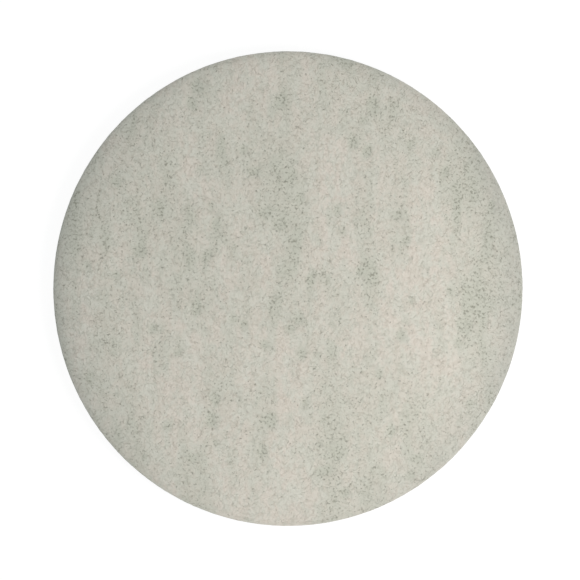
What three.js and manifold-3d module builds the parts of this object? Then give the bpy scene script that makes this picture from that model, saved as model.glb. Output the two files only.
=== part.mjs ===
import * as THREE from 'three';
import { mergeVertices } from 'three/addons/utils/BufferGeometryUtils.js';
import Module from 'manifold-3d';

// Floor polishing pad: one thick soft disc, die-cut from a lofty web of crimped fine fibres bonded
// at their crossings. It lies on its driver face with the working face up.
// Millimetres. The origin is the middle of the underside, +Z is up and +Y runs along the web.

// Outline. The web is pulled along its length while it is cut, so the disc comes out a little oval.
const padWidth = 432;
const padLength = 437;
const outlineSteps = 120;

// Section at the edge. The knife comes down through the working face: it drags the upper edge down
// into a broad roll, the loft springs back into a slight waist, and the lower arris stays tight.
const padThickness = 25;
const upperRollWidth = 30;
const upperRollDepth = 5.5;
const upperRollPull = 1.8;
const upperRollReach = 9;
const upperRollSteps = 7;
const waistDepth = 0.9;
const waistSteps = 3;
const lowerArris = 1.4;
const lowerArrisSteps = 2;

// Thin places of the web, where the working face sinks. Most lie along the web. Each is written as
// [across the web, along the web, width, length, depth, lean in degrees].
const thinPlaces = [
  // Far quarter on the left
  [-86, 188, 10, 13, 1.0, 10],
  [-89, 170, 10, 20, 1.1, 25],
  [-9, 171, 9, 15, 0.8, -20],
  [-42, 126, 10, 13, 0.8, 20],
  [-82, 109, 7, 10, 0.9, -10],
  [-31, 107, 12, 10, 0.9, 0],
  [-158, 98, 11, 13, 0.8, -20],
  [3, 104, 10, 11, 0.9, -25],
  [-118, 74, 9, 19, 0.8, 5],
  [-22, 69, 13, 14, 0.8, 0],
  [-71, 74, 8, 13, 0.9, 5],
  [-67, 59, 8, 15, 1.1, 0],
  [-9, 58, 15, 11, 1.0, 5],
  [-137, 34, 14, 14, 0.8, 30],
  [-75, 29, 13, 17, 0.8, -35],
  [-184, 21, 7, 14, 0.9, -10],
  [-158, 12, 10, 11, 0.9, 0],
  // Far quarter on the right
  [77, 168, 10, 21, 1.3, 0],
  [70, 154, 9, 9, 0.8, 0],
  [59, 133, 8, 14, 0.9, 0],
  [72, 125, 9, 14, 1.2, -15],
  [134, 124, 7, 10, 0.8, -10],
  [111, 132, 9, 10, 0.9, 0],
  [143, 107, 9, 14, 0.9, -15],
  [11, 82, 8, 12, 0.9, 5],
  [45, 71, 9, 16, 1.1, 10],
  [99, 67, 9, 10, 0.9, -20],
  [50, 52, 9, 14, 0.9, 10],
  [108, 44, 9, 8, 0.9, 0],
  [187, 77, 8, 16, 0.8, -10],
  [65, 15, 8, 11, 0.9, 0],
  [21, 8, 9, 9, 0.9, 0],
  // Near quarter on the left
  [-84, -19, 9, 15, 1.2, -5],
  [-50, -28, 9, 9, 0.9, 0],
  [-41, -33, 9, 11, 0.9, 0],
  [-125, -37, 9, 14, 0.9, -15],
  [-21, -52, 14, 10, 1.0, -20],
  [-102, -60, 9, 10, 0.9, 0],
  [-183, -82, 10, 11, 0.8, 0],
  [-67, -101, 8, 17, 0.9, 5],
  [-71, -121, 11, 17, 1.2, -10],
  [-110, -126, 15, 11, 0.8, 35],
  [-16, -121, 15, 17, 0.9, 0],
  [-66, -142, 8, 10, 0.8, 0],
  [-24, -150, 9, 18, 0.9, 0],
  [-87, -155, 11, 9, 0.8, 20],
  // Near quarter on the right
  [9, -28, 9, 15, 1.1, 15],
  [2, -37, 11, 9, 1.1, 0],
  [12, -60, 9, 15, 1.1, 0],
  [148, -3, 9, 12, 0.8, 0],
  [113, -12, 9, 10, 0.9, 0],
  [106, -30, 9, 9, 0.8, 0],
  [103, -43, 11, 13, 1.1, 15],
  [160, -34, 15, 15, 1.3, 20],
  [155, -50, 8, 15, 0.9, 0],
  [83, -79, 9, 9, 0.8, 0],
  [15, -105, 8, 15, 0.9, 0],
  [167, -106, 10, 10, 0.9, 0],
  [94, -130, 9, 13, 1.2, 5],
  [45, -152, 9, 9, 0.8, 0],
  [31, -167, 21, 9, 0.9, 10],
  [118, -156, 10, 9, 0.9, 20],
  [112, -174, 10, 10, 0.9, 0],
  [52, -188, 10, 10, 1.0, 0],
];
// The face sinks a little beyond a thin place on every side, by this share of its size.
const thinPlaceSpread = 1.35;
const thinPlaceSteps = 10;

// Section of a thin place of unit size, from its bottom to clear of the face: [out from the middle, height].
const thinPlaceSection = [
  [0, -1],
  [0.4, -0.68],
  [0.75, -0.16],
  [1.05, 0.06],
  [1.05, 1],
  [0, 1],
];

const wasm = await Module();
wasm.setup();

// The edge section as points of (in from the rim, up from the underside), from the underside to the face.
function edgeSection() {
  const rollFoot = padThickness - upperRollDepth;
  const middle = (lowerArris + rollFoot) / 2;
  const lowerCorner = new THREE.QuadraticBezierCurve(
    new THREE.Vector2(lowerArris, 0),
    new THREE.Vector2(0, 0),
    new THREE.Vector2(0, lowerArris),
  );
  const wall = new THREE.QuadraticBezierCurve(
    new THREE.Vector2(0, lowerArris),
    new THREE.Vector2(2 * waistDepth, middle),
    new THREE.Vector2(0, rollFoot),
  );
  const upperRoll = new THREE.CubicBezierCurve(
    new THREE.Vector2(0, rollFoot),
    new THREE.Vector2(0, padThickness - upperRollPull),
    new THREE.Vector2(upperRollReach, padThickness),
    new THREE.Vector2(upperRollWidth, padThickness),
  );
  return [
    ...lowerCorner.getPoints(lowerArrisSteps),
    ...wall.getPoints(waistSteps).slice(1),
    ...upperRoll.getPoints(upperRollSteps).slice(1),
  ];
}

// One oval ring of the outline, set in from the rim.
function ovalRing(inset, height) {
  const oval = new THREE.EllipseCurve(0, 0, padWidth / 2 - inset, padLength / 2 - inset);
  return oval
    .getPoints(outlineSteps)
    .slice(0, outlineSteps)
    .map((point) => new THREE.Vector3(point.x, point.y, height));
}

// The disc before its face sinks: rings skinned up the edge, and a flat sheet across each end.
function discGeometry() {
  const rings = edgeSection().map((point) => ovalRing(point.x, point.y));
  const sheet = THREE.ShapeUtils.triangulateShape(rings[0], []);
  const last = (rings.length - 1) * outlineSteps;
  const corners = [];
  for (const [a, b, c] of sheet) {
    corners.push(a, c, b);
    corners.push(last + a, last + b, last + c);
  }
  for (let ring = 0; ring < rings.length - 1; ring++) {
    for (let step = 0; step < outlineSteps; step++) {
      const next = (step + 1) % outlineSteps;
      const a = ring * outlineSteps + step;
      const b = ring * outlineSteps + next;
      const c = a + outlineSteps;
      const d = b + outlineSteps;
      corners.push(a, b, d);
      corners.push(a, d, c);
    }
  }
  const geometry = new THREE.BufferGeometry().setFromPoints(rings.flat());
  geometry.setIndex(corners);
  return geometry;
}

// How far in from the rim a place of the web lies. Beyond the rim it is less than nothing.
function rimInset(across, along) {
  return (1 - Math.hypot(across / (padWidth / 2), along / (padLength / 2))) * (padWidth / 2);
}

// How far the face has rolled down at a place, from its distance in from the rim.
function rollDrop(across, along) {
  const inset = rimInset(across, along);
  const roll = edgeSection().slice(-upperRollSteps - 1);
  const outer = roll.findLastIndex((point) => point.x <= inset);
  if (outer === roll.length - 1) {
    return 0;
  }
  const part = (inset - roll[outer].x) / (roll[outer + 1].x - roll[outer].x);
  return padThickness - THREE.MathUtils.lerp(roll[outer].y, roll[outer + 1].y, part);
}

// The hollow that one thin place leaves in the face: the unit section revolved, stretched and laid in place.
function hollowGeometry([across, along, width, length, depth, lean]) {
  const section = thinPlaceSection.map(([out, up]) => new THREE.Vector2(out, up));
  const hollow = new THREE.LatheGeometry(section, thinPlaceSteps);
  hollow.rotateX(Math.PI / 2);
  hollow.scale((width / 2) * thinPlaceSpread, (length / 2) * thinPlaceSpread, depth);
  hollow.rotateZ(THREE.MathUtils.degToRad(lean));
  hollow.translate(across, along, padThickness - rollDrop(across, along));
  return hollow;
}

// A closed solid from a geometry: its seams welded, and the corners that meet on an axis taken out.
function solidFrom(geometry) {
  const bare = geometry.clone();
  bare.deleteAttribute('normal');
  bare.deleteAttribute('uv');
  const welded = mergeVertices(bare, 1e-4);
  const index = welded.index.array;
  const corners = [];
  for (let i = 0; i < index.length; i += 3) {
    const [a, b, c] = [index[i], index[i + 1], index[i + 2]];
    if (a !== b && b !== c && a !== c) {
      corners.push(a, b, c);
    }
  }
  const mesh = new wasm.Mesh({
    numProp: 3,
    vertProperties: Float32Array.from(welded.attributes.position.array),
    triVerts: Uint32Array.from(corners),
  });
  return new wasm.Manifold(mesh);
}

// The finished web as a geometry again.
function geometryFrom(solid) {
  const mesh = solid.getMesh();
  const geometry = new THREE.BufferGeometry();
  geometry.setAttribute('position', new THREE.BufferAttribute(mesh.vertProperties, mesh.numProp));
  geometry.setIndex(new THREE.BufferAttribute(mesh.triVerts, 1));
  geometry.computeVertexNormals();
  return geometry;
}

// The disc is cut out of the web, so the thin places beyond the knife are left behind.
function padGeometry() {
  const kept = thinPlaces.filter(([across, along]) => rimInset(across, along) > 0);
  const hollows = kept.map((place) => solidFrom(hollowGeometry(place)));
  const disc = solidFrom(discGeometry());
  return geometryFrom(disc.subtract(wasm.Manifold.union(hollows)));
}

const fibreWeb = new THREE.MeshStandardMaterial({ color: 0xc1bfb4, roughness: 0.95, metalness: 0 });
const pad = new THREE.Mesh(padGeometry(), fibreWeb);
pad.name = 'pad';

const polishingPad = new THREE.Group();
polishingPad.name = 'floor_polishing_pad';
polishingPad.add(pad);

export default polishingPad;
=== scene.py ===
import math

import bpy
import numpy as np
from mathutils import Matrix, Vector
from mathutils.bvhtree import BVHTree


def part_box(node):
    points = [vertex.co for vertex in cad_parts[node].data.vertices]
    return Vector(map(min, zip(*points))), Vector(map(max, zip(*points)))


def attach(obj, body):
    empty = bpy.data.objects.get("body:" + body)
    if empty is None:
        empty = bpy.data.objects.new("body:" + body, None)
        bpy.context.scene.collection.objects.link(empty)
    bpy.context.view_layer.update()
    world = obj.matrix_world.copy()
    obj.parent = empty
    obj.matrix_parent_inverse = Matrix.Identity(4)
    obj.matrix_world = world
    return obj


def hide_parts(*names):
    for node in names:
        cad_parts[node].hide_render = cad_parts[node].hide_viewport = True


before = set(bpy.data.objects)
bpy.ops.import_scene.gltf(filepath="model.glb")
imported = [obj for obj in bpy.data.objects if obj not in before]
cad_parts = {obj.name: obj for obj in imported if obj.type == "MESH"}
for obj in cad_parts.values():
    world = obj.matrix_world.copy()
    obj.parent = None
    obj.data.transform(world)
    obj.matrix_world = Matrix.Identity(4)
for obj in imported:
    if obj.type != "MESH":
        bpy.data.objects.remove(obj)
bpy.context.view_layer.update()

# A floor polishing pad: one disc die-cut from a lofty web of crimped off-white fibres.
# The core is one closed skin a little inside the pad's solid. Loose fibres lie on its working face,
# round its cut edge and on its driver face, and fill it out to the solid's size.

MM = 0.001
SEED = 17

low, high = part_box("pad")
HALF_WIDTH = (high.x - low.x) / 2
HALF_LENGTH = (high.y - low.y) / 2
THICKNESS = high.z - low.z

# How far the core lies under the pad's outer surface, which leaves room for the fibres.
FACE_COVER = 0.16 * MM
WALL_COVER = 0.55 * MM
BACK_COVER = 0.45 * MM

# Spacing of the core's skin on the working face, at the edge and on the driver face.
FACE_SPACING = 1.75 * MM
EDGE_SPACING = 0.95 * MM
BACK_SPACING = 4.2 * MM
EDGE_BAND = 6 * MM

# Fibres of each place: how many, the points along each, and their length, radius and crimp.
# FACE_FIBRES counts those in one of the face's pieces.
FACE_PIECES = 3
FACE_FIBRES = 14400
BACK_FIBRES = 8800
WALL_FIBRES = 4400
CUT_ENDS = 3600
FIBRE_STATIONS = 4
LAYER_STATIONS = 6
FIBRE_LENGTH = (4.5 * MM, 8.5 * MM)
LAYER_LENGTH = (8 * MM, 18 * MM)
FIBRE_RADIUS = (0.06 * MM, 0.10 * MM)
CRIMP_HEIGHT = (0.2 * MM, 0.7 * MM)
CRIMP_LENGTH = (7 * MM, 13 * MM)

# Depth at which a thin place shows in full, and how thin the plain web looks between them.
THIN_DEPTH = 0.75 * MM
PLAIN_THIN = 0.24

# Sizes of the clouds, the dark dots of painted shade in the gaps between fibres, the flecks and the crossing
# fibres that colour the web. An amount is how strongly clouds or dark dots show.
CLOUD_ACROSS = 8 * MM
CLOUD_ALONG = 22 * MM
CLOUD_AMOUNT = 0.30
GAP_SHADE_SPACING = 2.2 * MM
GAP_SHADE_AMOUNT = 0.53
CUT_GAP_SHADE_AMOUNT = 0.7
FLECK_SIZE = 1.4 * MM
GRAIN_WIDTH = 0.5 * MM
GRAIN_LENGTH = 4 * MM

# Painted shade that darkens and greys the web at the rim: a wide soft band and a narrow one.
WIDE_RIM_SHADE = 60 * MM
NARROW_RIM_SHADE = 18 * MM

# How thin the fibres of the cut edge look, and how much painted shade of the rim they take.
EDGE_THIN = 0.25
EDGE_RIM_SHADE = 0.35

# Strips that the cut wall is laid out in on a colour map.
WALL_STRIPS = 8

# The web as sheets of numbers on a square grid that covers the pad.
SHEET_STEP = 1.0 * MM
SHEET_CELLS = 480
SHEET_HALF = SHEET_STEP * SHEET_CELLS / 2

# Rays are cast down at the face. Most fibres have a ridge that faces up.
DOWN = Vector((0, 0, -1))
UP = np.array([0.0, 0.0, 1.0])


# The pad's solid, as rays find it.

def solid_surface():
    """The pad's solid as a surface to cast rays at."""
    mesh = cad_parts["pad"].data
    points = [vertex.co.copy() for vertex in mesh.vertices]
    faces = [tuple(polygon.vertices) for polygon in mesh.polygons]
    return BVHTree.FromPolygons(points, faces)


def rim_point(turn, inset):
    """A point of the outline at this angle, set in from the rim."""
    return (HALF_WIDTH - inset) * math.cos(turn), (HALF_LENGTH - inset) * math.sin(turn)


def read_edge(surface):
    """The section of the edge: face heights by distance in from the rim, and wall insets by height."""
    turns = [math.tau * k / 8 for k in range(8)]
    stations = np.concatenate([np.arange(0.15, 3, 0.35), np.arange(3, 36, 1.5)]) * MM
    heights = []
    for inset in stations:
        hits = [surface.ray_cast(Vector((*rim_point(turn, inset), 1)), DOWN)[0] for turn in turns]
        heights.append(np.median([hit.z for hit in hits]))
    levels = np.linspace(0.15 * MM, heights[0], 24)
    insets = []
    for level in levels:
        hit = surface.ray_cast(Vector((1, 0, level)), Vector((-1, 0, 0)))[0]
        insets.append(HALF_WIDTH - hit.x)
    return stations, np.array(heights), levels, np.array(insets)


def read_thin_places(surface, section):
    """How deep the thin places sink the working face, as a sheet."""
    stations, heights = section[:2]
    axis = (np.arange(SHEET_CELLS) + 0.5) * SHEET_STEP - SHEET_HALF
    depth = np.zeros((SHEET_CELLS, SHEET_CELLS))
    for row in range(0, SHEET_CELLS, 2):
        for column in range(0, SHEET_CELLS, 2):
            x, y = axis[column], axis[row]
            inset = rim_inset(x, y)
            if inset > 1 * MM:
                hit = surface.ray_cast(Vector((x, y, 1)), DOWN)[0]
                depth[row:row + 2, column:column + 2] = np.interp(inset, stations, heights) - hit.z
    return smooth_sheet(np.clip(depth, 0, None), 1.6 * MM, 1.6 * MM)


def rim_inset(x, y):
    """How far in from the rim a place is."""
    return (1 - np.hypot(x / HALF_WIDTH, y / HALF_LENGTH)) * (HALF_WIDTH + HALF_LENGTH) / 2


# Sheets of numbers over the web.

def smooth_sheet(sheet, across, along):
    """The sheet with its lumps smoothed over these distances."""
    waves = np.fft.fftfreq(SHEET_CELLS, SHEET_STEP)
    fade_along = np.exp(-2 * (math.pi * along * waves) ** 2)
    fade_across = np.exp(-2 * (math.pi * across * waves) ** 2)
    return np.fft.ifft2(np.fft.fft2(sheet) * fade_along[:, None] * fade_across[None, :]).real


def lumps(random, across, along):
    """A sheet of chance lumps of about this size, with mean 0 and spread 1."""
    sheet = smooth_sheet(random.standard_normal((SHEET_CELLS, SHEET_CELLS)), across / 2, along / 2)
    return (sheet - sheet.mean()) / sheet.std()


def read_sheet(sheet, x, y):
    """The sheet's values at these places."""
    column = np.clip((x + SHEET_HALF) / SHEET_STEP - 0.5, 0, SHEET_CELLS - 1.001)
    row = np.clip((y + SHEET_HALF) / SHEET_STEP - 0.5, 0, SHEET_CELLS - 1.001)
    c, r = column.astype(int), row.astype(int)
    u, v = column - c, row - r
    lower = sheet[r, c] * (1 - u) + sheet[r, c + 1] * u
    upper = sheet[r + 1, c] * (1 - u) + sheet[r + 1, c + 1] * u
    return lower * (1 - v) + upper * v


class Web:
    """The web that the pad is cut from: its edge section, its thin places and its loft."""

    def __init__(self):
        surface = solid_surface()
        random = np.random.default_rng(SEED)
        self.section = read_edge(surface)
        self.sunk = read_thin_places(surface, self.section)
        faint = np.clip(lumps(random, 8 * MM, 22 * MM) - 0.5, 0, None) * 0.32
        streaks = lumps(random, 14 * MM, 70 * MM) * 0.13 + lumps(random, 16 * MM, 44 * MM) * 0.13
        self.thin = np.clip(self.sunk / THIN_DEPTH + faint + streaks + PLAIN_THIN, 0, 1)
        self.loft = lumps(random, 12 * MM, 22 * MM) * 0.06 * MM + lumps(random, 5 * MM, 7 * MM) * 0.02 * MM
        self.back_thin = np.clip(lumps(random, 10 * MM, 16 * MM) * 0.3 + 0.1, 0, 1)

    def face_height(self, x, y):
        """Height of the working face."""
        stations, heights = self.section[:2]
        rolled = np.interp(rim_inset(x, y), stations, heights)
        return rolled - read_sheet(self.sunk, x, y) + read_sheet(self.loft, x, y)

    def wall_inset(self, z):
        """How far the cut wall lies in from the rim at a height."""
        levels, insets = self.section[2:]
        return np.interp(z, levels, insets)


def rim_shade_at(x, y):
    """How strongly painted shade darkens and greys the web near the rim: most on the left and right, least
    at the far and near sides.
    """
    inset = rim_inset(x, y)
    out = np.maximum(np.hypot(x / HALF_WIDTH, y / HALF_LENGTH), 0.01)
    right, far = x / HALF_WIDTH / out, y / HALF_LENGTH / out
    sides = right ** 2 - far ** 2
    # Both bands are painted shade: the wide one most on the left and right, the narrow one at the very rim,
    # most on the right and far right.
    wide = np.clip(1 - inset / WIDE_RIM_SHADE, 0, 1) ** 1.8
    narrow = np.clip(1 - inset / NARROW_RIM_SHADE, 0, 1) ** 0.7
    far_right = np.clip(right, 0, 1) * np.clip(far, 0, 1)
    inner = 0.26 + 0.20 * sides - 0.14 * right * far
    outer = 0.045 + 0.058 * right + 0.01 * far + 0.04 * sides + 0.16 * far_right
    return wide * inner + narrow * outer


# Meshes.

def make_piece(name, points, triangles, places, values, material):
    """A smooth piece from its points and triangles, with its map places and named values."""
    mesh = bpy.data.meshes.new(name)
    mesh.vertices.add(len(points))
    mesh.vertices.foreach_set("co", np.asarray(points, np.float32).ravel())
    mesh.loops.add(triangles.size)
    mesh.loops.foreach_set("vertex_index", triangles.astype(np.int32).ravel())
    mesh.polygons.add(len(triangles))
    mesh.polygons.foreach_set("loop_start", np.arange(0, triangles.size, 3, dtype=np.int32))
    mesh.update(calc_edges=True)
    mesh.polygons.foreach_set("use_smooth", np.ones(len(triangles), bool))
    for label, numbers in values.items():
        attribute = mesh.attributes.new(label, "FLOAT", "POINT")
        attribute.data.foreach_set("value", np.asarray(numbers, np.float32))
    layer = mesh.uv_layers.new(name="OFBake")
    layer.data.foreach_set("uv", np.asarray(places, np.float32).ravel())
    mesh.validate()
    piece = bpy.data.objects.new(name, mesh)
    bpy.context.scene.collection.objects.link(piece)
    mesh.materials.append(material)
    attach(piece, "root")
    return piece


def stitch(first, second):
    """Triangles between two rings of points, given as lists of their numbers, whatever their counts."""
    n, m = len(first), len(second)
    steps = np.concatenate([(np.arange(n) + 1) / n, (np.arange(m) + 1) / m])
    order = np.argsort(steps, kind="stable")
    on_first = order < n
    a = np.cumsum(on_first) - on_first
    b = np.cumsum(~on_first) - ~on_first
    third = np.where(on_first, first[(a + 1) % n], second[(b + 1) % m])
    return np.stack([first[a % n], third, second[b % m]], axis=1)


def core_rings(web):
    """The core's rings from the middle of the face, over the edge, to the middle of the back.

    Each is (points round it, distance in from the rim, height, zone)."""
    rings = []
    face_reach = HALF_WIDTH - EDGE_BAND
    face_rings = round(face_reach / FACE_SPACING)
    for k in range(1, face_rings + 1):
        rings.append((6 * k, HALF_WIDTH - face_reach * k / face_rings, None, "face"))
    round_count = 6 * face_rings
    heights = web.section[1]
    for inset in np.arange(EDGE_BAND - EDGE_SPACING, 1.3 * MM, -EDGE_SPACING):
        rings.append((round_count, inset, None, "face"))
    for inset in (0.85 * MM, 0.45 * MM):
        rings.append((round_count, inset, None, "roll"))
    for level in np.arange(heights[0] - 0.6 * MM, 1.2 * MM, -EDGE_SPACING * 1.4):
        rings.append((round_count, 0, level, "wall"))
    rings.append((round_count, 0.35 * MM, 0.75 * MM, "corner"))
    rings.append((round_count, 0.9 * MM, BACK_COVER, "corner"))
    back_reach = HALF_WIDTH - 2.5 * MM
    back_rings = round(back_reach / BACK_SPACING)
    for k in range(back_rings, 0, -1):
        rings.append((6 * k, HALF_WIDTH - back_reach * k / back_rings, BACK_COVER, "back"))
    return rings


def core_points(web, ring):
    """The points of one ring of the core, in their places."""
    count, inset, level, zone = ring
    turn = np.arange(count) / count * math.tau
    cos, sin = np.cos(turn), np.sin(turn)
    cover = {"face": 0, "roll": 0.2 * MM, "wall": WALL_COVER, "corner": WALL_COVER, "back": 0}[zone]
    if zone == "wall":
        inset = float(web.wall_inset(level))
    x = (HALF_WIDTH - inset - cover) * cos
    y = (HALF_LENGTH - inset - cover) * sin
    if zone in ("face", "roll"):
        z = web.face_height(x, y) - FACE_COVER
    elif zone == "back":
        z = level + 0.12 * MM * np.clip(read_sheet(web.loft, -x, y) / (0.16 * MM), -1, 1.5)
    else:
        z = np.full(count, float(level))
    if zone == "wall":
        ripple = read_sheet(web.loft, x * 0.5 + 0.1, level * 8 + 0.02 * sin)
        x, y = x + ripple * cos, y + ripple * sin
    return np.stack([x, y, z], axis=1)


def build_core(web, material):
    """The core of the web as one closed skin."""
    rings = core_rings(web)
    points = [np.array([[0, 0, float(web.face_height(0.0, 0.0)) - FACE_COVER]])]
    numbers = [np.array([0])]
    total = 1
    for ring in rings:
        made = core_points(web, ring)
        points.append(made)
        numbers.append(total + np.arange(len(made)))
        total += len(made)
    points.append(np.array([[0, 0, BACK_COVER]]))
    numbers.append(np.array([total]))
    triangles = []
    zones = []
    names = ["face"] + [ring[3] for ring in rings] + ["back"]
    for index in range(len(numbers) - 1):
        strip = stitch_or_fan(numbers[index], numbers[index + 1])
        triangles.append(strip)
        zone = names[index + 1] if index < len(rings) // 2 else names[index]
        zones += [zone] * len(strip)
    points = np.concatenate(points)
    triangles = np.concatenate(triangles)
    places = core_map(points, triangles, np.array(zones))
    x, y = points[:, 0], points[:, 1]
    on_face = points[:, 2] > THICKNESS / 2
    thin = np.where(on_face, read_sheet(web.thin, x, y), read_sheet(web.back_thin, x, y))
    values = {"thin": thin, "rim_shade": rim_shade_at(x, y) * on_face}
    piece = make_piece("pad_web", points, triangles, places, values, material)
    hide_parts("pad")


def stitch_or_fan(first, second):
    """Triangles between two rings, one of which may be a single point."""
    if len(first) == 1:
        return np.stack([np.repeat(first, len(second)), second, np.roll(second, -1)], axis=1)
    if len(second) == 1:
        return np.stack([first, np.repeat(second, len(first)), np.roll(first, -1)], axis=1)
    return stitch(first, second)[:, [0, 2, 1]]


def core_map(points, triangles, zones):
    """Where each corner lies on the colour map: the face large, the back small, the wall in strips."""
    corner = points[triangles]
    x, y, z = corner[..., 0], corner[..., 1], corner[..., 2]
    face_middle, face_size = 0.378, 0.745
    back_middle, back_size = 0.796, 0.40
    upper_left, lower_right = (0.02, 0.79), (0.785, 0.02)
    strip_length, strip_step, strip_height = 0.195, 0.05, 0.035
    face_scale, back_scale = face_size / (2 * HALF_LENGTH), back_size / (2 * HALF_LENGTH)
    face = np.stack([face_middle + x * face_scale, face_middle + y * face_scale], axis=-1)
    back = np.stack([back_middle - x * back_scale, back_middle + y * back_scale], axis=-1)
    turn = np.arctan2(y / HALF_LENGTH, x / HALF_WIDTH) / math.tau % 1
    middle = turn[:, :1] + (turn - turn[:, :1] + 0.5) % 1 - 0.5
    strip = np.floor(middle.mean(axis=1, keepdims=True) * WALL_STRIPS).clip(0, WALL_STRIPS - 1)
    along = middle * WALL_STRIPS - strip
    right = strip >= WALL_STRIPS / 2
    u = np.where(right, lower_right[0], upper_left[0]) + along * strip_length
    row = np.where(right, strip - WALL_STRIPS / 2, strip)
    base = np.where(right, lower_right[1], upper_left[1]) + row * strip_step
    wall = np.stack([u, base + z / THICKNESS * strip_height], axis=-1)
    zone = zones[:, None, None]
    return np.where(zone == "face", face, np.where(zone == "back", back, wall))


# Fibres.

def tubes(paths, radii, outward=UP):
    """Three-sided tubes that end in a point, along many paths of the same number of stations.

    One ridge of each faces its outward side. Gives the points and triangles."""
    along = np.gradient(paths, axis=1)
    along /= np.linalg.norm(along, axis=2, keepdims=True)
    side = np.cross(along, outward)
    side /= np.linalg.norm(side, axis=2, keepdims=True)
    up = np.cross(side, along)
    count, stations = paths.shape[:2]
    inner = stations - 2
    rings = []
    for corner in range(3):
        turn = math.tau * corner / 3
        swing = side * math.sin(turn) + up * math.cos(turn)
        rings.append(paths[:, 1:-1] + swing[:, 1:-1] * radii[:, None, None])
    rings = np.stack(rings, axis=2).reshape(count, inner * 3, 3)
    points = np.concatenate([paths[:, :1], rings, paths[:, -1:]], axis=1)
    last = inner * 3 + 1
    pattern = []
    for corner in range(3):
        after = (corner + 1) % 3
        pattern.append((0, 1 + after, 1 + corner))
        pattern.append((last, last - 3 + corner, last - 3 + after))
        for ring in range(inner - 1):
            a, b = 1 + ring * 3 + corner, 1 + ring * 3 + after
            pattern += [(a, b, a + 3), (b, b + 3, a + 3)]
    pattern = np.array(pattern)
    triangles = (np.arange(count)[:, None, None] * (last + 1) + pattern[None]).reshape(-1, 3)
    return points.reshape(-1, 3), triangles


def fibre_centres(random, count, thin, keep_thin):
    """Where the middles of fibres lie in a face: fewer in the thin places, and none at the very rim."""
    centres = []
    need = count
    while need > 0:
        x = random.uniform(-HALF_WIDTH, HALF_WIDTH, need * 3)
        y = random.uniform(-HALF_LENGTH, HALF_LENGTH, need * 3)
        stays = random.random(need * 3) > (1 - keep_thin) * read_sheet(thin, x, y)
        inside = rim_inset(x, y) > 0.6 * MM
        chosen = np.stack([x, y], axis=1)[stays & inside][:need]
        centres.append(chosen)
        need -= len(chosen)
    return np.concatenate(centres)


def lying_paths(random, count, thin, keep_thin, spread):
    """Crimped fibres lying in a face: their places, cut off where the knife cut the web.

    They head along the web, give or take the spread."""
    centres = fibre_centres(random, count, thin, keep_thin)
    heading = math.pi / 2 + random.normal(0, spread, count)
    length = random.uniform(*FIBRE_LENGTH, count)
    crimp = random.uniform(*CRIMP_HEIGHT, count)
    wave = math.tau / random.uniform(*CRIMP_LENGTH, count)
    phase = random.uniform(0, math.tau, count)
    bend = random.normal(0, 14, count)
    cos, sin = np.cos(heading)[:, None], np.sin(heading)[:, None]

    def places(distance):
        swing = crimp[:, None] * (np.sin(wave[:, None] * distance + phase[:, None]) - np.sin(phase)[:, None])
        swing = swing + bend[:, None] * distance ** 2 / 2
        x = centres[:, :1] + cos * distance - sin * swing
        y = centres[:, 1:] + sin * distance + cos * swing
        return x, y

    tries = np.linspace(0, 1, 13)
    reach = {}
    for side in (-1, 1):
        distance = side * length[:, None] / 2 * tries[None]
        inside = rim_inset(*places(distance)) > 0.12 * MM
        steps = np.minimum.accumulate(inside, axis=1).sum(axis=1) - 1
        reach[side] = side * length / 2 * tries[np.maximum(steps, 0)]
    long_enough = reach[1] - reach[-1] > 2.5 * MM
    share = np.linspace(0, 1, FIBRE_STATIONS)
    distance = reach[-1][:, None] + (reach[1] - reach[-1])[:, None] * share[None]
    x, y = places(distance)
    return x[long_enough], y[long_enough]


def dive(count, random, deepest):
    """How deep each fibre lies along its length: its middle in the face, its ends drawn into the core."""
    share = np.linspace(-1, 1, FIBRE_STATIONS)
    level = deepest * random.random(count) ** 1.3
    rock = random.normal(0, 0.04 * MM, (count, 1)) * share
    rock = rock + random.normal(0, 0.03 * MM, (count, FIBRE_STATIONS))
    return level[:, None] + 0.35 * MM * np.abs(share) ** 3 + rock


def flat_map(points, triangles, mirrored):
    """Map places for fibres that lie in a face: straight down on the image."""
    corner = points[triangles]
    scale = 0.98 / (2 * HALF_LENGTH)
    x = -corner[..., 0] if mirrored else corner[..., 0]
    return np.stack([0.5 + x * scale, 0.5 + corner[..., 1] * scale], axis=-1)


def build_face_fibres(web, material):
    """The loose fibres on the working face, in a few pieces."""
    for number in range(FACE_PIECES):
        random = np.random.default_rng([SEED, 1, number])
        x, y = lying_paths(random, FACE_FIBRES, web.thin, 0.35, 1.3)
        z = web.face_height(x, y) - dive(len(x), random, FACE_COVER - 0.06 * MM)
        radii = random.uniform(*FIBRE_RADIUS, len(x))
        points, triangles = tubes(np.stack([x, y, z], axis=2), radii)
        px, py = points[:, 0], points[:, 1]
        tone = np.repeat(random.normal(0, 1, len(x)), len(points) // len(x))
        values = {"thin": read_sheet(web.thin, px, py), "rim_shade": rim_shade_at(px, py), "tone": tone}
        places = flat_map(points, triangles, False)
        make_piece(f"face_fibres_{number + 1}", points, triangles, places, values, material)


def build_back_fibres(web, material):
    """The loose fibres on the driver face, pressed flat by the pad's weight."""
    random = np.random.default_rng([SEED, 2])
    x, y = lying_paths(random, BACK_FIBRES, web.back_thin, 0.35, 0.75)
    edge = np.clip(1.6 * MM - rim_inset(x, y), 0, None)
    radii = random.uniform(*FIBRE_RADIUS, len(x))
    z = np.maximum(dive(len(x), random, 0.25 * MM) + edge * 0.8, radii[:, None])
    points, triangles = tubes(np.stack([x, y, z], axis=2), radii)
    points[:, 2] = np.maximum(points[:, 2], 0.01 * MM)
    px, py = points[:, 0], points[:, 1]
    tone = np.repeat(random.normal(0, 1, len(x)), len(points) // len(x))
    values = {"thin": read_sheet(web.back_thin, px, py), "rim_shade": 0 * px, "tone": tone}
    make_piece("back_fibres", points, triangles, flat_map(points, triangles, True), values, material)


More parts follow.
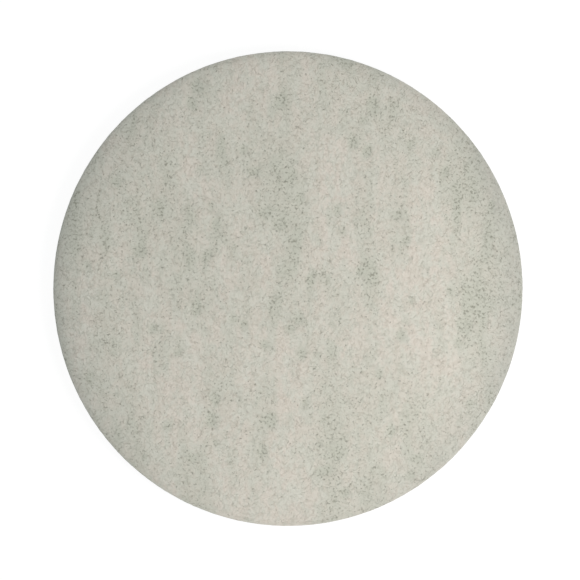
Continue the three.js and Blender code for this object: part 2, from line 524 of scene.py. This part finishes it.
def wall_places(web, turn, z, sunk):
    """Places on the cut wall, sunk into it."""
    stations, heights = web.section[:2]
    inset = np.where(z < heights[0], web.wall_inset(z), np.interp(z, heights, stations)) + sunk
    lower_corner = np.clip(1.4 * MM - z, 0, None) * 0.5
    inset = inset + lower_corner
    x = (HALF_WIDTH - inset) * np.cos(turn)
    y = (HALF_LENGTH - inset) * np.sin(turn)
    return np.stack([x, y, z], axis=2)


def wall_map(points, triangles, turns):
    """Map places for fibres on the wall, in strips one above the other.

    The turns are the angles of each triangle's own fibre."""
    corner = points[triangles]
    turn = np.arctan2(corner[..., 1] / HALF_LENGTH, corner[..., 0] / HALF_WIDTH) / math.tau
    own = (turns / math.tau % 1)[:, None]
    turn = own + (turn - own + 0.5) % 1 - 0.5
    strip = np.floor(own * WALL_STRIPS)
    u = 0.08 + (turn * WALL_STRIPS - strip) * 0.84
    v = (strip + 0.04 + corner[..., 2] / THICKNESS * 0.92) / WALL_STRIPS
    return np.stack([u, v], axis=-1)


def layer_fibres(web, random, top):
    """Fibres lying in the web's layers round the cut edge: their angles, points and triangles."""
    share = np.linspace(-1, 1, LAYER_STATIONS)[None]
    turns = random.uniform(0, math.tau, WALL_FIBRES)
    length = random.uniform(*LAYER_LENGTH, WALL_FIBRES)[:, None]
    level = random.uniform(0.5 * MM, top, WALL_FIBRES)[:, None]
    slope = random.normal(0, 0.10, WALL_FIBRES)[:, None]
    crimp = random.uniform(0.15 * MM, 0.6 * MM, WALL_FIBRES)[:, None]
    phase = random.uniform(0, math.tau, WALL_FIBRES)[:, None]
    turn = turns[:, None] + share * length / 2 / HALF_WIDTH
    z = level + slope * share * length / 2 + crimp * np.sin(share * 4.2 + phase)
    z = np.clip(z, 0.3 * MM, top + 0.4 * MM)
    sunk = random.uniform(0, WALL_COVER, WALL_FIBRES)[:, None] + 0.45 * MM * np.abs(share) ** 3 + 0.2 * MM
    paths = wall_places(web, turn, z, sunk)
    outward = paths * np.array([1, 1, 0])
    outward /= np.linalg.norm(outward, axis=2, keepdims=True)
    radii = random.uniform(*FIBRE_RADIUS, WALL_FIBRES)
    return turns, *tubes(paths, radii, outward)


def cut_end_fibres(web, random, top):
    """Cut ends of the fibres that crossed the knife: their angles, points and triangles."""
    turns = random.uniform(0, math.tau, CUT_ENDS)
    lean = random.normal(0, 0.6, (CUT_ENDS, 1)) * 2 * MM / HALF_WIDTH
    rise = random.normal(0, 0.7 * MM, (CUT_ENDS, 1))
    step = np.linspace(0, 1, FIBRE_STATIONS)[None]
    level = random.uniform(0.8 * MM, top, CUT_ENDS)[:, None]
    z = np.clip(level + rise * step, 0.35 * MM, top + 0.5 * MM)
    sunk = 1.1 * MM - step * random.uniform(0.75 * MM, 1.25 * MM, CUT_ENDS)[:, None]
    paths = wall_places(web, turns[:, None] + lean * step, z, sunk)
    radii = random.uniform(*FIBRE_RADIUS, CUT_ENDS)
    return turns, *tubes(paths, radii)


def build_wall_fibres(web, material):
    """The cut edge: fibres lying in the web's layers, and the cut ends of those that crossed the knife."""
    random = np.random.default_rng([SEED, 3])
    top = THICKNESS - 2.2 * MM
    layer_turns, layer_points, layer_triangles = layer_fibres(web, random, top)
    end_turns, end_points, end_triangles = cut_end_fibres(web, random, top)
    points = np.concatenate([layer_points, end_points])
    triangles = np.concatenate([layer_triangles, end_triangles + len(layer_points)])
    turns = np.concatenate([layer_turns, end_turns])
    counts = [WALL_FIBRES, CUT_ENDS]
    points_each = [len(layer_points) // WALL_FIBRES, len(end_points) // CUT_ENDS]
    triangles_each = [len(layer_triangles) // WALL_FIBRES, len(end_triangles) // CUT_ENDS]
    tone = np.repeat(random.normal(0, 1, len(turns)), np.repeat(points_each, counts))
    # All the cut edge's fibres take the same share of painted rim shade.
    values = {"thin": np.full_like(tone, EDGE_THIN), "rim_shade": np.full_like(tone, EDGE_RIM_SHADE), "tone": tone}
    places = wall_map(points, triangles, np.repeat(turns, np.repeat(triangles_each, counts)))
    make_piece("edge_fibres", points, triangles, places, values, material)


# Materials.

def add_node(tree, kind, inputs=None, **settings):
    """A new node with its settings, and its inputs set to values or joined to other nodes."""
    node = tree.nodes.new(kind)
    for name, value in settings.items():
        setattr(node, name, value)
    for name, value in (inputs or {}).items():
        if isinstance(value, bpy.types.NodeSocket):
            tree.links.new(value, node.inputs[name])
        else:
            node.inputs[name].default_value = value
    return node


def math_node(tree, operation, *values, clamp=False):
    """The result of a sum on one, two or three values."""
    inputs = dict(enumerate(values))
    return add_node(tree, "ShaderNodeMath", inputs, operation=operation, use_clamp=clamp).outputs[0]


def mix_colour(tree, factor, first, second):
    """Two colours mixed."""
    inputs = {0: factor, 6: first, 7: second}
    return add_node(tree, "ShaderNodeMix", inputs, data_type="RGBA").outputs[2]


def ramp_between(tree, value, start, end):
    """A value spread so that start gives 0 and end gives 1, with soft ends."""
    inputs = {"Value": value, "From Min": start, "From Max": end}
    node = add_node(tree, "ShaderNodeMapRange", inputs, interpolation_type="SMOOTHSTEP")
    return node.outputs["Result"]


def noise_value(tree, places, detail, roughness=0.5):
    """Soft noise from 0 to 1, with lumps about one step of the places wide."""
    inputs = {"Vector": places, "Scale": 1.0, "Detail": detail, "Roughness": roughness}
    return add_node(tree, "ShaderNodeTexNoise", inputs).outputs[0]


def new_group(name, inputs, outputs):
    """An empty node group with these inputs and outputs."""
    tree = bpy.data.node_groups.new(name, "ShaderNodeTree")
    for label, kind, value in inputs:
        socket = tree.interface.new_socket(label, in_out="INPUT", socket_type=kind)
        socket.default_value = value
    for label, kind in outputs:
        tree.interface.new_socket(label, in_out="OUTPUT", socket_type=kind)
    return tree, tree.nodes.new("NodeGroupInput"), tree.nodes.new("NodeGroupOutput")


def stretched_places(tree, across, along):
    """Places on the web counted in lumps of this size across and along it."""
    here = tree.nodes.new("ShaderNodeTexCoord").outputs["Object"]
    over_across = math_node(tree, "DIVIDE", 1.0, across)
    over_along = math_node(tree, "DIVIDE", 1.0, along)
    sizes = add_node(tree, "ShaderNodeCombineXYZ", {"X": over_across, "Y": over_along, "Z": over_across})
    scaled = add_node(tree, "ShaderNodeVectorMath", {0: here, 1: sizes.outputs[0]}, operation="MULTIPLY")
    return scaled.outputs[0]


NUMBER = "NodeSocketFloat"
COLOUR = "NodeSocketColor"


def cloud_group():
    """Cloudy patches where the web is thinner, longer along the web than across it."""
    inputs = [
        ("Thin", NUMBER, 0.0),
        ("Across", NUMBER, CLOUD_ACROSS),
        ("Along", NUMBER, CLOUD_ALONG),
        ("Amount", NUMBER, CLOUD_AMOUNT),
    ]
    tree, taken, given = new_group("web clouds", inputs, [("Mask", NUMBER)])
    places = stretched_places(tree, taken.outputs["Across"], taken.outputs["Along"])
    patch = ramp_between(tree, noise_value(tree, places, 3.0, 0.55), 0.48, 0.74)
    patch = math_node(tree, "MULTIPLY", patch, taken.outputs["Amount"])
    mask = math_node(tree, "ADD", patch, taken.outputs["Thin"], clamp=True)
    tree.links.new(mask, given.inputs["Mask"])
    return tree


def gap_shade_group():
    """Painted shade in the small gaps between fibres, as dark dots: few where the web is full, crowded where
    it is thin.
    """
    inputs = [("Thin", NUMBER, 0.0), ("Spacing", NUMBER, GAP_SHADE_SPACING), ("Amount", NUMBER, GAP_SHADE_AMOUNT)]
    tree, taken, given = new_group("web specks", inputs, [("Mask", NUMBER)])
    places = stretched_places(tree, taken.outputs["Spacing"], taken.outputs["Spacing"])
    gaps = noise_value(tree, places, 2.0, 0.6)
    start = math_node(tree, "MULTIPLY_ADD", taken.outputs["Thin"], -0.12, 0.62)
    full = math_node(tree, "ADD", start, 0.17)
    gap = ramp_between(tree, gaps, start, full)
    mask = math_node(tree, "MULTIPLY", gap, taken.outputs["Amount"], clamp=True)
    tree.links.new(mask, given.inputs["Mask"])
    return tree


def grain_group():
    """Fine fibres that cross each other, as ridges in three headings."""
    inputs = [("Width", NUMBER, GRAIN_WIDTH), ("Length", NUMBER, GRAIN_LENGTH)]
    tree, taken, given = new_group("fibre grain", inputs, [("Height", NUMBER)])
    here = tree.nodes.new("ShaderNodeTexCoord").outputs["Object"]
    over_width = math_node(tree, "DIVIDE", 1.0, taken.outputs["Width"])
    over_length = math_node(tree, "DIVIDE", 1.0, taken.outputs["Length"])
    sizes = add_node(tree, "ShaderNodeCombineXYZ", {"X": over_width, "Y": over_length, "Z": over_width})
    height = None
    for heading in (-1.0, 0.05, 1.1):
        turned = add_node(
            tree, "ShaderNodeVectorRotate", {"Vector": here, "Angle": heading}, rotation_type="Z_AXIS"
        )
        scaled = add_node(
            tree, "ShaderNodeVectorMath", {0: turned.outputs[0], 1: sizes.outputs[0]}, operation="MULTIPLY"
        )
        waves = {"Vector": scaled.outputs[0], "Scale": 1.0, "Detail": 1.0, "Distortion": 0.3}
        ridge = add_node(tree, "ShaderNodeTexNoise", waves).outputs[0]
        height = ridge if height is None else math_node(tree, "MAXIMUM", height, ridge)
    tree.links.new(ramp_between(tree, height, 0.48, 0.78), given.inputs["Height"])
    return tree


def tone_group():
    """The web's colour: warm where it is full, greener and darker in thin places, and darker and greyer near
    the rim as painted shade.
    """
    inputs = [
        ("Full Colour", COLOUR, (0.6, 0.6, 0.5, 1)),
        ("Cool Colour", COLOUR, (0.6, 0.6, 0.5, 1)),
        ("Thin Colour", COLOUR, (0.4, 0.4, 0.3, 1)),
        ("Rim Shade Colour", COLOUR, (0.3, 0.3, 0.3, 1)),
        ("Cloud", NUMBER, 0.0),
        ("Margin", NUMBER, 0.0),
    ]
    tree, taken, given = new_group("web colour", inputs, [("Colour", COLOUR)])
    small = stretched_places(tree, 12 * MM, 20 * MM)
    cool = ramp_between(tree, noise_value(tree, small, 3.0, 0.7), 0.38, 0.62)
    base = mix_colour(tree, cool, taken.outputs["Full Colour"], taken.outputs["Cool Colour"])
    clouded = mix_colour(tree, taken.outputs["Cloud"], base, taken.outputs["Thin Colour"])
    wide = stretched_places(tree, 30 * MM, 60 * MM)
    uneven = ramp_between(tree, noise_value(tree, wide, 2.0), 0.2, 0.8)
    spread = math_node(tree, "MULTIPLY_ADD", uneven, 0.5, 0.75)
    rim_shade = math_node(tree, "MULTIPLY", taken.outputs["Margin"], spread, clamp=True)
    # Painted shade near the rim: the web's colour mixed towards a darker grey.
    rim_shaded = mix_colour(tree, rim_shade, clouded, taken.outputs["Rim Shade Colour"])
    tree.links.new(rim_shaded, given.inputs["Colour"])
    return tree


def fleck_group():
    """Even fine flecks, light and dark, about a millimetre across."""
    tree, taken, given = new_group("fine flecks", [("Size", NUMBER, FLECK_SIZE)], [("Mask", NUMBER)])
    places = stretched_places(tree, taken.outputs["Size"], taken.outputs["Size"])
    fleck = ramp_between(tree, noise_value(tree, places, 2.0, 0.7), 0.25, 0.75)
    tree.links.new(fleck, given.inputs["Mask"])
    return tree


def use_group(tree, group, inputs):
    """The outputs of a group placed in a material with its own values."""
    return add_node(tree, "ShaderNodeGroup", inputs, node_tree=group).outputs


def piece_value(tree, name):
    """A named value that the piece carries at each point."""
    return add_node(tree, "ShaderNodeAttribute", attribute_name=name).outputs["Fac"]


def new_material(name, roughness):
    """A material with only its shader and output."""
    material = bpy.data.materials.new(name)
    material.use_nodes = True
    tree = material.node_tree
    tree.nodes.clear()
    shader = add_node(tree, "ShaderNodeBsdfPrincipled", {"Roughness": roughness})
    output = tree.nodes.new("ShaderNodeOutputMaterial")
    tree.links.new(shader.outputs[0], output.inputs["Surface"])
    return material, tree, shader


def paint(red, green, blue):
    """A colour from its usual 0 to 255 values."""
    shares = [value / 255 for value in (red, green, blue)]
    linear = [s / 12.92 if s <= 0.04045 else ((s + 0.055) / 1.055) ** 2.4 for s in shares]
    return (*linear, 1)


# Colour of the fine flecks and of each fibre's own darker tone, and also of the painted shade between the
# core's crossing fibres.
FLECK_AND_SHADE_COLOUR = paint(161, 160, 148)
# Colour of the dark dots of painted shade in the gaps between fibres.
GAP_SHADE_COLOUR = paint(98, 97, 80)
FLECK_SHARE = 0.16


def web_colour(tree, groups, colours, gap_shades):
    """The colour that the core and the fibres share: clouds, painted shade near the rim, flecks, and dark
    dots of painted shade in the gaps.
    """
    thin = piece_value(tree, "thin")
    sizes = {"Thin": thin, "Across": CLOUD_ACROSS, "Along": CLOUD_ALONG, "Amount": CLOUD_AMOUNT}
    cloud = use_group(tree, groups["cloud"], sizes)[0]
    inputs = dict(colours, Cloud=cloud, Margin=piece_value(tree, "rim_shade"))
    colour = use_group(tree, groups["tone"], inputs)[0]
    fleck = use_group(tree, groups["fleck"], {"Size": FLECK_SIZE})[0]
    flecked = mix_colour(tree, math_node(tree, "MULTIPLY", fleck, FLECK_SHARE), colour, FLECK_AND_SHADE_COLOUR)
    # Dark dots of painted shade in the gaps between fibres.
    gap_shade = use_group(tree, groups["gap_shade"], {"Thin": cloud, "Spacing": GAP_SHADE_SPACING, "Amount": gap_shades})[0]
    return mix_colour(tree, gap_shade, flecked, GAP_SHADE_COLOUR), gap_shade


def core_material(groups):
    """The matted inside of the web, with fine crossing fibres: painted a little darker than the loose fibres
    as shade inside the web, and darker still between the crossing fibres as painted shade.
    """
    material, tree, shader = new_material("web_core", 0.95)
    # A little darker than the loose fibres: painted shade of the web's inside.
    colours = {
        "Full Colour": paint(222, 215, 204),
        "Cool Colour": paint(217, 216, 205),
        "Thin Colour": paint(200, 201, 188),
        "Rim Shade Colour": paint(164, 167, 161),
    }
    colour, gap_shade = web_colour(tree, groups, colours, GAP_SHADE_AMOUNT)
    grain = use_group(tree, groups["grain"], {"Width": GRAIN_WIDTH, "Length": GRAIN_LENGTH})[0]
    # Painted shade between the crossing fibres: the core is darker where the grain is low.
    between = math_node(tree, "MULTIPLY_ADD", grain, -0.09, 0.09)
    groove_shaded = mix_colour(tree, between, colour, FLECK_AND_SHADE_COLOUR)
    tree.links.new(groove_shaded, shader.inputs["Base Color"])
    height = math_node(tree, "SUBTRACT", grain, gap_shade)
    bump = add_node(tree, "ShaderNodeBump", {"Height": height, "Distance": 0.3 * MM, "Strength": 0.4})
    tree.links.new(bump.outputs[0], shader.inputs["Normal"])
    return material


def fibre_material(groups, name, colours, gap_shades):
    """Loose fibres: matt, with a faint sheen, each with its own tone."""
    material, tree, shader = new_material(name, 0.8)
    shader.inputs["Sheen Weight"].default_value = 0.12
    shader.inputs["Sheen Roughness"].default_value = 0.6
    colour = web_colour(tree, groups, colours, gap_shades)[0]
    own =math_node(tree, "MULTIPLY_ADD", piece_value(tree, "tone"), 0.04, 0.06, clamp=True)
    tree.links.new(mix_colour(tree, own, colour, FLECK_AND_SHADE_COLOUR), shader.inputs["Base Color"])
    return material


def floor_material():
    """A white floor that shows plain white to the camera and keeps a little of the pad's shadow."""
    material, tree, shader = new_material("studio_floor", 1.0)
    shader.inputs["Base Color"].default_value = (0.82, 0.82, 0.82, 1)
    shader.inputs["Specular IOR Level"].default_value = 0
    path = tree.nodes.new("ShaderNodeLightPath")
    seen = math_node(tree, "MAXIMUM", path.outputs["Is Camera Ray"], path.outputs["Is Glossy Ray"])
    seen = math_node(tree, "MAXIMUM", seen, path.outputs["Is Transmission Ray"])
    white = add_node(tree, "ShaderNodeEmission", {"Color": (1, 1, 1, 1), "Strength": 1.12})
    share = math_node(tree, "MULTIPLY", seen, 0.8)
    mix = add_node(tree, "ShaderNodeMixShader", {0: share, 1: shader.outputs[0], 2: white.outputs[0]})
    output = next(node for node in tree.nodes if node.type == "OUTPUT_MATERIAL")
    tree.links.new(mix.outputs[0], output.inputs["Surface"])
    return material


# The studio.

def build_floor():
    """One wide floor under the pad."""
    half = 6.0
    mesh = bpy.data.meshes.new("studio_floor")
    corners = [(-half, -half, 0), (half, -half, 0), (half, half, 0), (-half, half, 0)]
    mesh.from_pydata(corners, [], [(0, 1, 2, 3)])
    floor = bpy.data.objects.new("studio_floor", mesh)
    bpy.context.scene.collection.objects.link(floor)
    mesh.materials.append(floor_material())


def build_camera():
    """The camera straight above the pad, with +Y up in the picture."""
    lens, sensor = 85.0, 36.0
    frame_width = 533.1 * MM
    off_across, off_along = 1.91 * MM, -1.29 * MM
    widest_height = THICKNESS - 5.5 * MM
    height = widest_height + frame_width * lens / sensor
    data = bpy.data.cameras.new("camera")
    data.lens = lens
    data.sensor_width = sensor
    data.clip_start = 0.01
    data.clip_end = 50
    camera = bpy.data.objects.new("camera", data)
    camera.location = (off_across, off_along, height)
    camera.rotation_euler = (0, 0, 0)
    bpy.context.scene.collection.objects.link(camera)
    bpy.context.scene.camera = camera


def build_lights():
    """One broad warm lamp on the right and a cooler light from all round."""
    data = bpy.data.lights.new("key", "AREA")
    data.shape = "DISK"
    data.size = 0.5
    data.energy = 5.9
    data.color = (1.0, 0.94, 0.91)
    key = bpy.data.objects.new("key", data)
    key.location = (0.56, -0.26, 0.84)
    key.rotation_euler = (Vector((0, 0, 0)) - key.location).to_track_quat("-Z", "Y").to_euler()
    key.visible_camera = False
    bpy.context.scene.collection.objects.link(key)
    world = bpy.data.worlds.new("studio")
    world.use_nodes = True
    back = world.node_tree.nodes["Background"]
    back.inputs["Color"].default_value = (0.942, 0.985, 1.0, 1)
    back.inputs["Strength"].default_value = 0.58
    bpy.context.scene.world = world


def main():
    web = Web()
    groups = {
        "cloud": cloud_group(),
        "gap_shade": gap_shade_group(),
        "fleck": fleck_group(),
        "grain": grain_group(),
        "tone": tone_group(),
    }
    build_core(web, core_material(groups))
    face = fibre_material(groups, "face_fibre", {
        "Full Colour": paint(224, 217, 206),
        "Cool Colour": paint(219, 218, 207),
        "Thin Colour": paint(202, 203, 190),
        "Rim Shade Colour": paint(166, 169, 163),
    }, GAP_SHADE_AMOUNT)
    # The cut edge's fibres are painted darker and greyer than the face's, and with more dark dots: painted
    # shade on the cut edge.
    cut = fibre_material(groups, "cut_fibre", {
        "Full Colour": paint(214, 209, 197),
        "Cool Colour": paint(208, 207, 196),
        "Thin Colour": paint(190, 191, 179),
        "Rim Shade Colour": paint(165, 167, 160),
    }, CUT_GAP_SHADE_AMOUNT)
    build_face_fibres(web, face)
    build_back_fibres(web, face)
    build_wall_fibres(web, cut)
    build_floor()
    build_camera()
    build_lights()
    bpy.context.scene.view_settings.view_transform = "Standard"


main()
bpy.context.view_layer.update()
